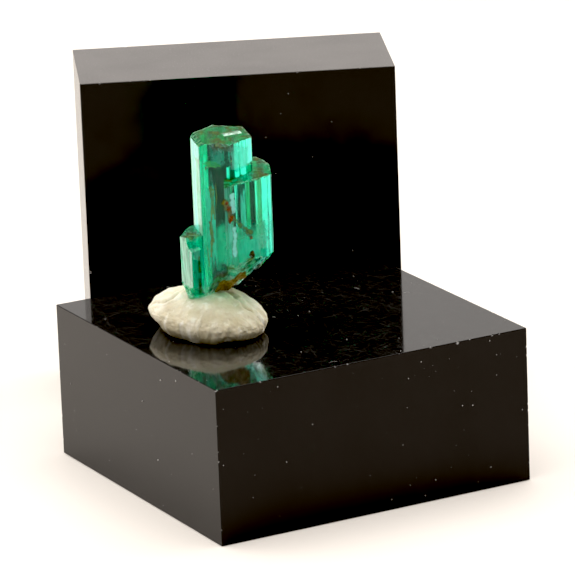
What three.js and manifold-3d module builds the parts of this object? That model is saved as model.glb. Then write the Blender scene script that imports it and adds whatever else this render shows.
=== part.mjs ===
// Emerald crystal group pressed into a lump of putty on a low black acrylic block,
// with a second black acrylic block standing on edge behind it.
// Millimetres, +Z up. Origin: centre of the base block's bottom face; X and Y run along its edges.
import * as THREE from 'three';
import { mergeVertices } from 'three/addons/utils/BufferGeometryUtils.js';
import Module from 'manifold-3d';

// ---------- driving dimensions ----------
const BASE_W = 32.97;             // base block along X
const BASE_D = 32.71;             // base block along Y
const BASE_H = 15.0;              // sheet thickness the base block is cut from
const BACK_W = 30.99;             // back block, along its front face
const BACK_T = 14.01;             // back block, front to rear
const BACK_H = 33.22;             // back block, standing height
const BACK_CORNER = [-7.59, 27.18]; // front left corner of the back block on the table
const BACK_TURN = -23.56;         // degrees, turn of the back block about Z
const EDGE_BREAK = 0.25;          // broken edges of both blocks

const PUTTY_CENTRE = [-7.97, 1.0];
const PUTTY_LONG = 6.53;          // half length
const PUTTY_SHORT = 5.0;          // half width
const PUTTY_HALF_H = 2.68;        // half height of the round form before it was pressed flat
const PUTTY_MID = 1.21;           // height of its widest level over the base
const PUTTY_TURN = -81.8;         // degrees
const PUTTY_SEAT = 0.05;          // flat underside over the base top

const CRYSTAL_TOP = [-6.925, -0.991, 34.131]; // centre of the tall prism's top face
const CRYSTAL_TURN = -28.063;     // degrees about Z
const CRYSTAL_LEAN = 5.5;         // degrees, leaning forwards
const HEX_SIDE = 2.95;            // tall prism, side of its hexagon
const HEX_PHASE = -103.9;         // degrees, first corner
const SECOND_TOP = -3.43;         // ledge of the second prism, below the tall top
const LEFT_TOP = -9.17;           // top of the small left prism
const GAP = 0.3;                  // clearance kept between pieces that meet

// Outlines across the prisms, in the crystals' own frame
// (first number to the right, second away from the front).
const SECOND_OUTLINE = [
  [4.57, -1.40], [4.44, 0.85], [3.88, 2.36], [3.20, 3.05], [1.25, 3.15],
  [0.00, 0.00], [0.16, -2.80], [0.13, -4.90], [1.24, -4.11], [2.98, -3.25],
];
const LEFT_OUTLINE = [
  [-1.20, -0.60], [-2.86, 0.71], [-3.50, 0.20], [-4.18, -1.90],
  [-3.10, -2.90], [-2.30, -2.60], [-2.04, -2.13],
];

// ---------- helpers ----------
const wasm = await Module();
wasm.setup();

function solid(geometry) {
  const g = geometry.clone();
  for (const name of Object.keys(g.attributes)) if (name !== 'position') g.deleteAttribute(name);
  const m = mergeVertices(g, 1e-5);
  return new wasm.Manifold(new wasm.Mesh({
    numProp: 3,
    vertProperties: new Float32Array(m.attributes.position.array),
    triVerts: new Uint32Array(m.index.array),
  }));
}

function geometryOf(manifold) {
  const m = manifold.getMesh();
  const g = new THREE.BufferGeometry();
  g.setAttribute('position', new THREE.BufferAttribute(new Float32Array(m.vertProperties), 3));
  g.setIndex(new THREE.BufferAttribute(new Uint32Array(m.triVerts), 1));
  g.computeVertexNormals();
  return g;
}

function named(name, geometry, color, roughness, metalness = 0) {
  const mesh = new THREE.Mesh(geometry, new THREE.MeshStandardMaterial({ color, roughness, metalness }));
  mesh.name = name;
  return mesh;
}

const clamp01 = (t) => Math.min(1, Math.max(0, t));
const ease = (t) => { const c = clamp01(t); return c * c * (3 - 2 * c); };

// Sawn block with its edges broken, standing on z = 0, centred on its plan.
function block(w, d, h) {
  const e = EDGE_BREAK;
  const plan = new THREE.Shape([
    new THREE.Vector2(-w / 2, -d / 2), new THREE.Vector2(w / 2, -d / 2),
    new THREE.Vector2(w / 2, d / 2), new THREE.Vector2(-w / 2, d / 2),
  ]);
  const g = new THREE.ExtrudeGeometry(plan, {
    depth: h - 2 * e, steps: 1, bevelEnabled: true,
    bevelThickness: e, bevelSize: e, bevelOffset: -e, bevelSegments: 2,
  });
  g.translate(0, 0, e);
  return g;
}

// Outline grown outwards by r from a middle point, for the seat that the crystals sink into.
function grown(outline, r) {
  const cx = outline.reduce((s, p) => s + p[0], 0) / outline.length;
  const cy = outline.reduce((s, p) => s + p[1], 0) / outline.length;
  return outline.map(([x, y]) => {
    const l = Math.hypot(x - cx, y - cy);
    const k = (l + r) / l;
    return [cx + (x - cx) * k, cy + (y - cy) * k];
  });
}

function prism(outline, top, bottom) {
  const plan = new THREE.Shape(outline.map(([x, y]) => new THREE.Vector2(x, y)));
  const g = new THREE.ExtrudeGeometry(plan, { depth: top - bottom, steps: 1, bevelEnabled: false });
  g.translate(0, 0, bottom);
  return g;
}

// Height of the broken underside, in the crystals' frame: it climbs to the right,
// falls away to the rear, and drops steeply at the left where the foot sinks into the putty.
function breakHeight(p, q) {
  let h = -14.15 + 0.43 * p - 0.55 * q;
  h -= 1.9 * ease((-0.2 - p) / 1.6) * ease((q + 2.9) / 1.2);
  h += 0.22 * Math.sin(1.7 * p + 0.6) * Math.cos(1.3 * q - 0.4);
  h += 0.12 * Math.sin(3.1 * p - 2.0 * q + 0.8);
  return h;
}

// Everything below the break, moved by drop along the crystals' axis.
function underBreak(drop) {
  const g = new THREE.BoxGeometry(14, 14, 2, 18, 18, 1);
  const pos = g.attributes.position;
  for (let i = 0; i < pos.count; i++) {
    const p = pos.getX(i), q = pos.getY(i);
    pos.setZ(i, pos.getZ(i) > 0 ? breakHeight(p, q) + drop : -26);
  }
  return g;
}

function lump(cx, cy, cz, rx, ry, rz) {
  const g = new THREE.SphereGeometry(1, 16, 10);
  g.rotateX(Math.PI / 2);
  g.scale(rx, ry, rz);
  g.translate(cx, cy, cz);
  return g;
}

// ---------- crystals, in their own leaning frame ----------
const hexagon = [];
for (let i = 0; i < 6; i++) {
  const a = THREE.MathUtils.degToRad(HEX_PHASE + 60 * i);
  hexagon.push([Math.sin(a) * HEX_SIDE, -Math.cos(a) * HEX_SIDE]);
}

const crystals = solid(prism(hexagon, 0, -20))
  .add(solid(prism(SECOND_OUTLINE, SECOND_TOP, -20)))
  .add(solid(prism(LEFT_OUTLINE, LEFT_TOP, -20)))
  .subtract(solid(underBreak(0)));

// Skin of host rock left hanging under the break.
const crust = solid(lump(0.20, 0.95, -15.75, 1.35, 1.75, 1.05))
  .add(solid(lump(-0.85, -0.55, -15.15, 1.15, 1.30, 0.80)))
  .intersect(solid(underBreak(-GAP)));

// ---------- putty, with the seat that crystals and crust sink into ----------
const tilt = new THREE.Matrix4().compose(
  new THREE.Vector3(...CRYSTAL_TOP),
  new THREE.Quaternion().setFromEuler(new THREE.Euler(
    THREE.MathUtils.degToRad(CRYSTAL_LEAN), 0, THREE.MathUtils.degToRad(CRYSTAL_TURN), 'ZYX')),
  new THREE.Vector3(1, 1, 1));

const puttyForm = new THREE.SphereGeometry(1, 40, 24);
puttyForm.rotateX(Math.PI / 2);
{
  const pos = puttyForm.attributes.position;
  for (let i = 0; i < pos.count; i++) {
    const x = pos.getX(i), y = pos.getY(i), z = pos.getZ(i);
    const a = Math.atan2(y, x), flat = Math.hypot(x, y);
    const k = 1 + flat * (0.025 * Math.sin(3 * a + 0.7) + 0.018 * Math.sin(5 * a - 1.1));
    pos.setXYZ(i, x * k * PUTTY_LONG, y * k * PUTTY_SHORT, z * PUTTY_HALF_H);
  }
}
puttyForm.rotateZ(THREE.MathUtils.degToRad(PUTTY_TURN));
puttyForm.translate(PUTTY_CENTRE[0], PUTTY_CENTRE[1], BASE_H + PUTTY_MID);

const aboveBase = new THREE.BoxGeometry(40, 40, 20);
aboveBase.translate(PUTTY_CENTRE[0], PUTTY_CENTRE[1], BASE_H + PUTTY_SEAT + 10);

const seatGeometries = [
  geometryOf(solid(prism(grown(hexagon, GAP), 2, -20))
    .add(solid(prism(grown(LEFT_OUTLINE, GAP), 2, -20)))
    .add(solid(prism(grown(SECOND_OUTLINE, GAP), 2, -20)))
    .subtract(solid(underBreak(-GAP)))),
  geometryOf(solid(lump(0.20, 0.95, -15.75, 1.35 + GAP, 1.75 + GAP, 1.05 + GAP))
    .add(solid(lump(-0.85, -0.55, -15.15, 1.15 + GAP, 1.30 + GAP, 0.80 + GAP)))),
];
let putty = solid(puttyForm).intersect(solid(aboveBase));
for (const g of seatGeometries) {
  g.applyMatrix4(tilt);
  putty = putty.subtract(solid(g));
}

// ---------- assembly ----------
const group = new THREE.Group();

const base = named('base_block', block(BASE_W, BASE_D, BASE_H), 0x0b0a0a, 0.08);
group.add(base);

const backPlace = new THREE.Group();
backPlace.position.set(BACK_CORNER[0], BACK_CORNER[1], 0);
backPlace.rotation.z = THREE.MathUtils.degToRad(BACK_TURN);
const back = named('back_block', block(BACK_W, BACK_T, BACK_H), 0x0b0a0a, 0.08);
back.position.set(BACK_W / 2, BACK_T / 2, 0);
backPlace.add(back);
group.add(backPlace);

group.add(named('mounting_putty', geometryOf(putty), 0xe3dcc6, 0.85));

const specimen = new THREE.Group();
specimen.position.set(...CRYSTAL_TOP);
specimen.rotation.set(
  THREE.MathUtils.degToRad(CRYSTAL_LEAN), 0, THREE.MathUtils.degToRad(CRYSTAL_TURN), 'ZYX');
specimen.add(named('emerald_crystals', geometryOf(crystals), 0x2fb487, 0.08));
specimen.add(named('matrix_crust', geometryOf(crust), 0x7a5a35, 0.9));
group.add(specimen);

export default group;
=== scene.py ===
import math

import bmesh
import bpy
import numpy as np
from mathutils import Matrix, Vector


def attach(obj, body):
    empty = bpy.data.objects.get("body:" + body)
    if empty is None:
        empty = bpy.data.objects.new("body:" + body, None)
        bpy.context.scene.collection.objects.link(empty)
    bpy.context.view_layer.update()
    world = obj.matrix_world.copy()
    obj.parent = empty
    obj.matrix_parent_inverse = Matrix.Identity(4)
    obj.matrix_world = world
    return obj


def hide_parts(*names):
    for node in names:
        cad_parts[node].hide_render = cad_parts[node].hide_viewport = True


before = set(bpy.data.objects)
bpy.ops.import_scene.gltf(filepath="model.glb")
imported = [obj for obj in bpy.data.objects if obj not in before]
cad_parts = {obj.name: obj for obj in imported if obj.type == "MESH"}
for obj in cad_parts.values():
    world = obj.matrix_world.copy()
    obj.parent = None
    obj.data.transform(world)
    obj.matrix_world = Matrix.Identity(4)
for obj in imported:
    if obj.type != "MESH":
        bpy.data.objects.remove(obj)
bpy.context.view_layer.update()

MM = 0.001
scene = bpy.context.scene

# ------------------------------------------------------------------ shared frame (millimetres)
VIEW_AZ = -0.489798991
LEAN = math.radians(5.5)
R_AX = np.array([math.cos(VIEW_AZ), math.sin(VIEW_AZ), 0.0])
A_AX = np.array([-math.sin(VIEW_AZ), math.cos(VIEW_AZ), 0.0])
Z_AX = np.array([0.0, 0.0, 1.0])
C1 = R_AX
C3 = -math.sin(LEAN) * A_AX + math.cos(LEAN) * Z_AX
C2 = np.cross(C3, C1)
TOP = np.array([-6.925, -0.991, 34.131])

BASE_W, BASE_D, BASE_H = 32.97, 32.71, 15.0
BACK_W, BACK_T, BACK_H = 30.99, 14.01, 33.22
BACK_CORNER = np.array([-7.59, 27.18, 0.0])
BACK_TURN = math.radians(-23.56)
PUTTY_C = np.array([-7.97, 1.0, 15.0])
PUTTY_E = np.array([0.1427, -0.9898, 0.0])
PUTTY_F = np.array([0.9898, 0.1427, 0.0])

HEX_SIDE = 2.95
HEX = [(math.sin(math.radians(-103.9 + 60 * i)) * HEX_SIDE, -math.cos(math.radians(-103.9 + 60 * i)) * HEX_SIDE)
       for i in range(6)]
SECOND = [(4.57, -1.40), (4.44, 0.85), (3.88, 2.36), (3.20, 3.05), (1.25, 3.15),
          (0.00, 0.00), (0.16, -2.80), (0.13, -4.90), (1.24, -4.11), (2.98, -3.25)]
LEFT = [(-1.20, -0.60), (-2.86, 0.71), (-3.50, 0.20), (-4.18, -1.90),
        (-3.10, -2.90), (-2.30, -2.60), (-2.04, -2.13)]


def crystal_to_world(v):
    v = np.asarray(v, float)
    return TOP + v[:, :1] * C1 + v[:, 1:2] * C2 + v[:, 2:3] * C3


# ------------------------------------------------------------------ noise
class Noise:
    def __init__(self, seed):
        rs = np.random.RandomState(seed)
        p = rs.permutation(256)
        self.p = np.concatenate([p, p, p])
        g = rs.normal(size=(256, 3))
        self.g = g / np.linalg.norm(g, axis=1)[:, None]

    def __call__(self, x, y, z=0.0):
        x, y, z = np.broadcast_arrays(np.asarray(x, float), np.asarray(y, float), np.asarray(z, float))
        xi, yi, zi = np.floor(x).astype(int), np.floor(y).astype(int), np.floor(z).astype(int)
        xf, yf, zf = x - xi, y - yi, z - zi
        u, v, w = (t * t * t * (t * (t * 6 - 15) + 10) for t in (xf, yf, zf))
        out = 0.0
        for i in (0, 1):
            for j in (0, 1):
                for k in (0, 1):
                    h = self.p[self.p[self.p[(xi + i) & 255] + ((yi + j) & 255)] + ((zi + k) & 255)]
                    g = self.g[h]
                    d = g[..., 0] * (xf - i) + g[..., 1] * (yf - j) + g[..., 2] * (zf - k)
                    out = out + d * (u if i else 1 - u) * (v if j else 1 - v) * (w if k else 1 - w)
        return out * 1.6

    def fbm(self, x, y, z=0.0, octaves=4, gain=0.5):
        s, a, f = 0.0, 1.0, 1.0
        for o in range(octaves):
            s = s + a * self(np.asarray(x) * f + 13.7 * o, np.asarray(y) * f - 7.1 * o, np.asarray(z) * f + 3.3 * o)
            a *= gain
            f *= 2.03
        return s


N1, N2, N3, N4 = Noise(11), Noise(23), Noise(37), Noise(53)


def ease(t):
    t = np.clip(t, 0.0, 1.0)
    return t * t * (3 - 2 * t)


# ------------------------------------------------------------------ mesh helpers
def new_object(name, verts, faces, smooth=True):
    me = bpy.data.meshes.new(name)
    me.from_pydata([tuple(map(float, v)) for v in verts], [], faces)
    me.validate()
    ob = bpy.data.objects.new(name, me)
    scene.collection.objects.link(ob)
    me.polygons.foreach_set("use_smooth", [smooth] * len(me.polygons))
    return ob


def outward(ob):
    bm = bmesh.new()
    bm.from_mesh(ob.data)
    bmesh.ops.recalc_face_normals(bm, faces=bm.faces)
    bm.to_mesh(ob.data)
    bm.free()


def boolean(ob, other, op, solver="MANIFOLD"):
    m = ob.modifiers.new("cut", "BOOLEAN")
    m.operation = op
    m.object = other
    m.solver = solver
    bpy.context.view_layer.update()
    me = bpy.data.meshes.new_from_object(ob.evaluated_get(bpy.context.evaluated_depsgraph_get()))
    ob.modifiers.clear()
    old, ob.data = ob.data, me
    bpy.data.meshes.remove(old)
    om = other.data
    bpy.data.objects.remove(other)
    bpy.data.meshes.remove(om)
    return ob


def verts_of(me):
    a = np.empty(len(me.vertices) * 3)
    me.vertices.foreach_get("co", a)
    return a.reshape(-1, 3)


def set_verts(me, v):
    me.vertices.foreach_set("co", np.asarray(v, float).ravel())
    me.update()


def face_data(me):
    n = np.empty(len(me.polygons) * 3)
    c = np.empty(len(me.polygons) * 3)
    me.polygons.foreach_get("normal", n)
    me.polygons.foreach_get("center", c)
    return n.reshape(-1, 3), c.reshape(-1, 3)


def face_attr(me, name, values):
    a = me.attributes.new(name, "FLOAT", "FACE")
    a.data.foreach_set("value", np.asarray(values, dtype=np.float32))


def vert_attr(me, name, values):
    a = me.attributes.new(name, "FLOAT", "POINT")
    a.data.foreach_set("value", np.asarray(values, dtype=np.float32))


def sharpen(me, degrees):
    me.polygons.foreach_set("use_smooth", [True] * len(me.polygons))
    me.set_sharp_from_angle(angle=math.radians(degrees))


def join_meshes(name, parts, smooth=True):
    """One object from a list of (verts, faces)."""
    vs, fs, n = [], [], 0
    for v, f in parts:
        vs.append(np.asarray(v, float))
        fs.extend([tuple(int(i) + n for i in q) for q in f])
        n += len(v)
    return new_object(name, np.vstack(vs), fs, smooth)


def icosphere(level):
    bm = bmesh.new()
    bmesh.ops.create_icosphere(bm, subdivisions=level, radius=1.0)
    v = np.array([x.co[:] for x in bm.verts])
    f = [tuple(x.index for x in q.verts) for q in bm.faces]
    bm.free()
    return v, f


ICO1, ICO2, ICO3 = icosphere(1), icosphere(2), icosphere(3)


def sheet_part(rows):
    """Quad strip faces for a grid of points, shape (m, n, 3)."""
    m, n = rows.shape[:2]
    f = [(i * n + j, i * n + j + 1, (i + 1) * n + j + 1, (i + 1) * n + j) for i in range(m - 1) for j in range(n - 1)]
    return rows.reshape(-1, 3), f


# ------------------------------------------------------------------ material helpers
def new_mat(name):
    mat = bpy.data.materials.new(name)
    mat.use_nodes = True
    nt = mat.node_tree
    nt.nodes.clear()
    out = nt.nodes.new("ShaderNodeOutputMaterial")
    bs = nt.nodes.new("ShaderNodeBsdfPrincipled")
    nt.links.new(bs.outputs[0], out.inputs["Surface"])
    return mat, nt, bs, out


def node(nt, kind, **kw):
    n = nt.nodes.new(kind)
    for k, v in kw.items():
        setattr(n, k, v)
    return n


def coords(nt, scale=(1, 1, 1), rot=(0, 0, 0), loc=(0, 0, 0), kind="POINT"):
    tc = node(nt, "ShaderNodeTexCoord")
    mp = node(nt, "ShaderNodeMapping")
    mp.vector_type = kind
    mp.inputs["Scale"].default_value = scale
    mp.inputs["Rotation"].default_value = rot
    mp.inputs["Location"].default_value = loc
    nt.links.new(tc.outputs["Object"], mp.inputs["Vector"])
    return mp.outputs[0]


def noise_tex(nt, vec, scale, detail=3.0, rough=0.55, dist=0.0):
    n = node(nt, "ShaderNodeTexNoise")
    n.inputs["Scale"].default_value = scale
    n.inputs["Detail"].default_value = detail
    n.inputs["Roughness"].default_value = rough
    n.inputs["Distortion"].default_value = dist
    nt.links.new(vec, n.inputs["Vector"])
    return n.outputs["Fac"]


def ramp(nt, fac, stops):
    r = node(nt, "ShaderNodeValToRGB")
    while len(r.color_ramp.elements) < len(stops):
        r.color_ramp.elements.new(0.5)
    for e, (p, c) in zip(r.color_ramp.elements, stops):
        e.position = p
        e.color = (*c, 1.0) if len(c) == 3 else c
    nt.links.new(fac, r.inputs[0])
    return r.outputs[0]


def remap(nt, fac, a, b, lo, hi):
    m = node(nt, "ShaderNodeMapRange")
    m.inputs["From Min"].default_value = a
    m.inputs["From Max"].default_value = b
    m.inputs["To Min"].default_value = lo
    m.inputs["To Max"].default_value = hi
    nt.links.new(fac, m.inputs["Value"])
    return m.outputs[0]


def math_node(nt, op, a, b):
    m = node(nt, "ShaderNodeMath", operation=op)
    for i, v in enumerate((a, b)):
        if isinstance(v, (int, float)):
            m.inputs[i].default_value = v
        else:
            nt.links.new(v, m.inputs[i])
    return m.outputs[0]


def mix_col(nt, fac, a, b):
    m = node(nt, "ShaderNodeMix", data_type="RGBA")
    for i, v in ((0, fac), (6, a), (7, b)):
        if isinstance(v, (int, float)):
            m.inputs[i].default_value = v
        elif isinstance(v, tuple):
            m.inputs[i].default_value = (*v, 1.0)
        else:
            nt.links.new(v, m.inputs[i])
    return m.outputs[2]


def bump(nt, height, strength, distance):
    b = node(nt, "ShaderNodeBump")
    b.inputs["Strength"].default_value = strength
    b.inputs["Distance"].default_value = distance
    nt.links.new(height, b.inputs["Height"])
    return b.outputs[0]


def attr(nt, name):
    a = node(nt, "ShaderNodeAttribute")
    a.attribute_name = name
    return a.outputs["Fac"]


# ------------------------------------------------------------------ materials
def scratch_field(nt):
    """Fine wandering hair scratches in many directions."""
    total = None
    for rot, sx, sy, lo in ((0.10, 15000, 420, 0.66), (0.55, 17000, 300, 0.66), (1.00, 14000, 520, 0.67),
                            (1.50, 18000, 380, 0.67), (1.95, 16000, 280, 0.66), (2.40, 14000, 600, 0.68),
                            (2.85, 17000, 340, 0.67)):
        v = coords(nt, (1.0 / sx, 1.0 / sy, 1.0 / 500), (0.0, 0.0, rot), (0.0031 * rot, 0.0017 * rot, 0.0), "TEXTURE")
        f = noise_tex(nt, v, 1.0, 2.0, 0.5, 0.25)
        line = remap(nt, f, lo, lo + 0.10, 0.0, 1.0)
        total = line if total is None else math_node(nt, "MAXIMUM", total, line)
    return total


def acrylic_polished(name, r_lo, r_hi, shine, marks, dull):
    mat, nt, bs, _ = new_mat(name)
    scr = scratch_field(nt)
    haze = noise_tex(nt, coords(nt, (260, 260, 260)), 1.0, 4.0, 0.6)
    dusty = noise_tex(nt, coords(nt, (5200, 5200, 5200)), 1.0, 2.0, 0.6)
    film = math_node(nt, "MULTIPLY", remap(nt, haze, 0.45, 0.75, 0.0, 0.5), remap(nt, dusty, 0.5, 0.8, 0.0, 1.0))
    col = mix_col(nt, film, (0.70 * dull, 0.69 * dull, 0.68 * dull), (1.8 * dull, 1.78 * dull, 1.75 * dull))
    col = mix_col(nt, math_node(nt, "MULTIPLY", scr, marks), col, (0.085, 0.083, 0.080))
    nt.links.new(col, bs.inputs["Base Color"])
    r = math_node(nt, "ADD", remap(nt, haze, 0.3, 0.8, r_lo, r_hi), math_node(nt, "MULTIPLY", scr, 0.06))
    nt.links.new(r, bs.inputs["Roughness"])
    bs.inputs["IOR"].default_value = 1.49
    bs.inputs["Specular IOR Level"].default_value = shine
    return mat


def acrylic_sawn(name, grey, rough):
    mat, nt, bs, _ = new_mat(name)
    streak = noise_tex(nt, coords(nt, (6500, 6500, 150)), 1.0, 3.0, 0.6)
    cloud = noise_tex(nt, coords(nt, (170, 170, 170)), 1.0, 3.0, 0.5)
    fine = noise_tex(nt, coords(nt, (9000, 9000, 900)), 1.0, 2.0, 0.6)
    mixf = math_node(nt, "MULTIPLY", remap(nt, streak, 0.3, 0.7, 0.82, 1.08), remap(nt, cloud, 0.3, 0.7, 0.88, 1.10))
    col = mix_col(nt, mixf, (0.0, 0.0, 0.0), grey)
    nt.links.new(col, bs.inputs["Base Color"])
    r = math_node(nt, "ADD", remap(nt, streak, 0.3, 0.7, rough - 0.03, rough + 0.04),
                  remap(nt, fine, 0.3, 0.7, -0.02, 0.03))
    nt.links.new(r, bs.inputs["Roughness"])
    nt.links.new(bump(nt, streak, 0.05, 0.00002), bs.inputs["Normal"])
    bs.inputs["IOR"].default_value = 1.49
    bs.inputs["Specular IOR Level"].default_value = 0.325
    return mat


def acrylic_chip():
    mat, nt, bs, _ = new_mat("acrylic_chip")
    f = noise_tex(nt, coords(nt, (6000, 6000, 6000)), 1.0, 3.0, 0.6)
    nt.links.new(ramp(nt, f, [(0.3, (0.05, 0.05, 0.05)), (0.7, (0.42, 0.41, 0.40))]), bs.inputs["Base Color"])
    bs.inputs["Roughness"].default_value = 0.35
    return mat


def emerald_mat():
    mat, nt, bs, out = new_mat("emerald")
    frost = attr(nt, "frost")
    stain = attr(nt, "stain")
    n_fine = noise_tex(nt, coords(nt, (5200, 5200, 5200)), 1.0, 4.0, 0.65)
    n_mid = noise_tex(nt, coords(nt, (1500, 1500, 1500), loc=(3.1, 1.7, 0.4)), 1.0, 4.0, 0.6)
    streak = noise_tex(nt, coords(nt, (3600, 3600, 130)), 1.0, 3.0, 0.6)
    blotch = math_node(nt, "MULTIPLY", stain, remap(nt, n_mid, 0.42, 0.60, 0.0, 0.9))
    speck = math_node(nt, "MULTIPLY", stain, remap(nt, n_fine, 0.58, 0.66, 0.0, 0.9))
    st = math_node(nt, "MINIMUM", math_node(nt, "MAXIMUM", blotch, speck), 1.0)
    rust = ramp(nt, n_fine, [(0.32, (0.085, 0.068, 0.010)), (0.52, (0.18, 0.170, 0.040)), (0.72, (0.30, 0.27, 0.085))])
    clear = mix_col(nt, frost, (1.0, 1.0, 1.0), (0.90, 0.98, 0.94))
    etch_glint = math_node(nt, "MULTIPLY", attr(nt, "etch_and_glint"), remap(nt, streak, 0.34, 0.58, 0.35, 1.0))
    tint = math_node(nt, "MINIMUM", math_node(nt, "MULTIPLY", st, 6.0), 1.0)
    col = mix_col(nt, tint, clear, rust)
    # pale etched-skin colour; on the top's growth step the same colour is a painted highlight
    nt.links.new(mix_col(nt, etch_glint, col, (0.74, 0.96, 0.87)), bs.inputs["Base Color"])
    rough = math_node(nt, "ADD",
                      math_node(nt, "MULTIPLY", frost, remap(nt, n_fine, 0.3, 0.7, 0.32, 0.58)),
                      remap(nt, streak, 0.35, 0.75, 0.004, 0.05))
    rough = math_node(nt, "ADD", rough, math_node(nt, "MULTIPLY", etch_glint, 0.25))
    nt.links.new(rough, bs.inputs["Roughness"])
    solid = math_node(nt, "MAXIMUM", math_node(nt, "MULTIPLY", st, 0.85), math_node(nt, "MULTIPLY", etch_glint, 0.75))
    nt.links.new(math_node(nt, "SUBTRACT", 1.0, solid), bs.inputs["Transmission Weight"])
    bs.inputs["IOR"].default_value = 1.577
    bs.inputs["Specular IOR Level"].default_value = 0.34
    bs.inputs["Specular Tint"].default_value = (0.64, 0.94, 0.89, 1.0)
    ab = node(nt, "ShaderNodeVolumeAbsorption")
    ab.inputs["Color"].default_value = (0.02, 0.968, 0.866, 1.0)
    ab.inputs["Density"].default_value = 590.0
    nt.links.new(ab.outputs[0], out.inputs["Volume"])
    return mat


def grain_mat(name, dark, mid, light):
    mat, nt, bs, _ = new_mat(name)
    f = noise_tex(nt, coords(nt, (5200, 5200, 5200)), 1.0, 4.0, 0.65)
    nt.links.new(ramp(nt, f, [(0.28, dark), (0.5, mid), (0.72, light)]), bs.inputs["Base Color"])
    bs.inputs["Roughness"].default_value = 0.7
    nt.links.new(bump(nt, f, 0.6, 0.00004), bs.inputs["Normal"])
    return mat


def film_mat(name, dark, light, a_lo, a_hi, grain=(3000, 3000, 3000), through=0.55):
    """Thin stained or healed sheet: patchy cover that light passes, the rest see-through."""
    mat, nt, bs, out = new_mat(name)
    f = noise_tex(nt, coords(nt, grain), 1.0, 5.0, 0.65)
    g = noise_tex(nt, coords(nt, tuple(0.4 * x for x in grain), loc=(1.3, 2.2, 0.7)), 1.0, 3.0, 0.6)
    col = ramp(nt, f, [(0.3, dark), (0.7, light)])
    nt.links.new(col, bs.inputs["Base Color"])
    bs.inputs["Roughness"].default_value = 0.6
    tl = node(nt, "ShaderNodeBsdfTranslucent")
    nt.links.new(col, tl.inputs["Color"])
    both = node(nt, "ShaderNodeMixShader")
    both.inputs[0].default_value = through
    nt.links.new(bs.outputs[0], both.inputs[1])
    nt.links.new(tl.outputs[0], both.inputs[2])
    tr = node(nt, "ShaderNodeBsdfTransparent")
    mx = node(nt, "ShaderNodeMixShader")
    a = math_node(nt, "MULTIPLY", remap(nt, g, 0.36, 0.64, a_lo, a_hi), attr(nt, "cover"))
    nt.links.new(math_node(nt, "MINIMUM", a, 1.0), mx.inputs[0])
    nt.links.new(tr.outputs[0], mx.inputs[1])
    nt.links.new(both.outputs[0], mx.inputs[2])
    nt.links.new(mx.outputs[0], out.inputs["Surface"])
    return mat


def matrix_mat():
    mat, nt, bs, _ = new_mat("matrix_rock")
    f = noise_tex(nt, coords(nt, (2600, 2600, 2600)), 1.0, 5.0, 0.65)
    g = noise_tex(nt, coords(nt, (9000, 9000, 9000)), 1.0, 3.0, 0.6)
    col = ramp(nt, f, [(0.30, (0.075, 0.050, 0.016)), (0.46, (0.23, 0.165, 0.050)), (0.58, (0.40, 0.31, 0.11)),
                       (0.72, (0.56, 0.50, 0.25))])
    nt.links.new(mix_col(nt, remap(nt, g, 0.58, 0.72, 0.0, 0.7), col, (0.34, 0.20, 0.055)), bs.inputs["Base Color"])
    bs.inputs["Roughness"].default_value = 0.82
    nt.links.new(bump(nt, g, 0.8, 0.00006), bs.inputs["Normal"])
    return mat


def putty_mat():
    mat, nt, bs, _ = new_mat("mounting_putty")
    f = noise_tex(nt, coords(nt, (420, 420, 420)), 1.0, 4.0, 0.6)
    g = noise_tex(nt, coords(nt, (4200, 4200, 4200)), 1.0, 3.0, 0.6)
    pore = noise_tex(nt, coords(nt, (11000, 11000, 11000)), 1.0, 2.0, 0.5)
    shade_fac = attr(nt, "painted_shade")
    col = ramp(nt, f, [(0.30, (0.78, 0.71, 0.53)), (0.55, (0.84, 0.80, 0.65)), (0.75, (0.87, 0.84, 0.73))])
    # painted shade: the putty colour is darkened towards brown in its fold grooves, in a band just above the block at
    # the front, and over its front side
    col = mix_col(nt, math_node(nt, "MULTIPLY", shade_fac, 0.78), col, (0.42, 0.36, 0.22))
    smear = noise_tex(nt, coords(nt, (950, 950, 130), loc=(0.6, 1.9, 0.2)), 1.0, 3.0, 0.55)
    col = mix_col(nt, remap(nt, smear, 0.54, 0.66, 0.0, 0.55), col, (0.90, 0.88, 0.79))
    col = mix_col(nt, remap(nt, smear, 0.46, 0.36, 0.0, 0.35), col, (0.58, 0.50, 0.33))
    col = mix_col(nt, remap(nt, g, 0.67, 0.73, 0.0, 0.7), col, (0.26, 0.21, 0.14))
    # painted light: a soft green patch in front of the crystal's foot stands in for green light passed through the
    # emerald
    col = mix_col(nt, math_node(nt, "MULTIPLY", attr(nt, "painted_green_light"), 0.5), col, (0.58, 0.76, 0.52))
    nt.links.new(col, bs.inputs["Base Color"])
    nt.links.new(remap(nt, g, 0.3, 0.7, 0.62, 0.8), bs.inputs["Roughness"])
    bs.inputs["Subsurface Weight"].default_value = 0.25
    bs.inputs["Subsurface Radius"].default_value = (1.0, 0.8, 0.5)
    bs.inputs["Subsurface Scale"].default_value = 0.0006
    h = math_node(nt, "ADD", g, math_node(nt, "MULTIPLY", pore, 0.5))
    nt.links.new(bump(nt, h, 0.35, 0.00003), bs.inputs["Normal"])
    return mat


def dust_mat():
    mat, nt, bs, _ = new_mat("dust")
    f = noise_tex(nt, coords(nt, (4000, 4000, 4000)), 1.0, 2.0, 0.5)
    nt.links.new(ramp(nt, f, [(0.3, (0.45, 0.44, 0.42)), (0.7, (0.85, 0.84, 0.82))]), bs.inputs["Base Color"])
    bs.inputs["Roughness"].default_value = 0.8
    return mat


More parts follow.
